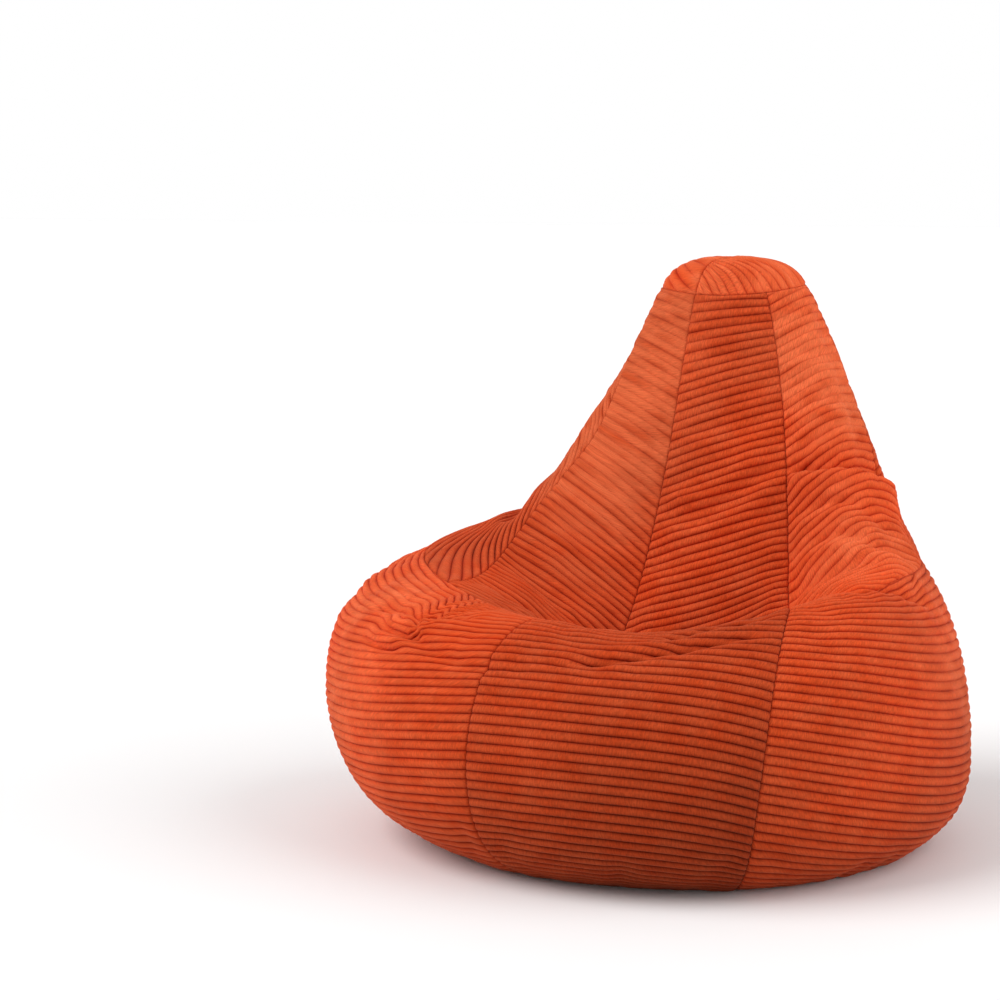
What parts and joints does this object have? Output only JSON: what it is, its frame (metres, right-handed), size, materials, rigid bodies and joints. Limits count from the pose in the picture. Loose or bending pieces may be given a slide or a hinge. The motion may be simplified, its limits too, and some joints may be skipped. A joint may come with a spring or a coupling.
{
  "type": "bean bag chair",
  "caption": "High-back floor lounger: a slumped teardrop bag of sewn wide-wale corduroy panels with a rolled rim, a sunken seat, a reclined back with a flat cap and a zip in the base.",
  "frame": {"origin": "on the floor under the seat, on the underside of the front half of the base", "axes": "front of the chair towards -Y, its right as seen from the front towards +X, up +Z"},
  "size_m": [1.0019, 0.9853, 0.893],
  "materials": {
    "corduroy": "wide-wale corduroy with a brushed pile",
    "zip_tape": "woven tape",
    "zip_coil": "nylon coil",
    "zip_metal": "dark enamelled slider",
    "liner_cloth": "plain woven polyester",
    "beads": "expanded polystyrene beads"
  },
  "bodies": {
    "bag": {"wrap_front": "corduroy", "wrap_right": "corduroy", "wrap_rear": "corduroy", "wrap_left": "corduroy", "back_centre_panel": "corduroy", "back_right_panel": "corduroy", "side_right_panel": "corduroy", "rear_panel": "corduroy", "side_left_panel": "corduroy", "back_left_panel": "corduroy", "cap_right": "corduroy", "cap_left": "corduroy", "base_front": "corduroy", "base_rear": "corduroy", "zip_tape_front": "zip_tape", "zip_tape_rear": "zip_tape", "zip_guard": "zip_tape", "zip_coil_front": "zip_coil", "zip_coil_rear": "zip_coil", "zip_stop_left": "zip_coil", "zip_stop_right": "zip_coil", "inner_liner": "liner_cloth", "bead_filling": "beads"},
    "zip_runner": {"zip_slider": "zip_metal", "zip_pull": "zip_metal"}
  },
  "joints": [
    {"name": "zip_slide", "type": "slide", "parent": "bag", "child": "zip_runner", "axis": [1, 0, 0], "range_m": [-0.468, 0]}
  ]
}
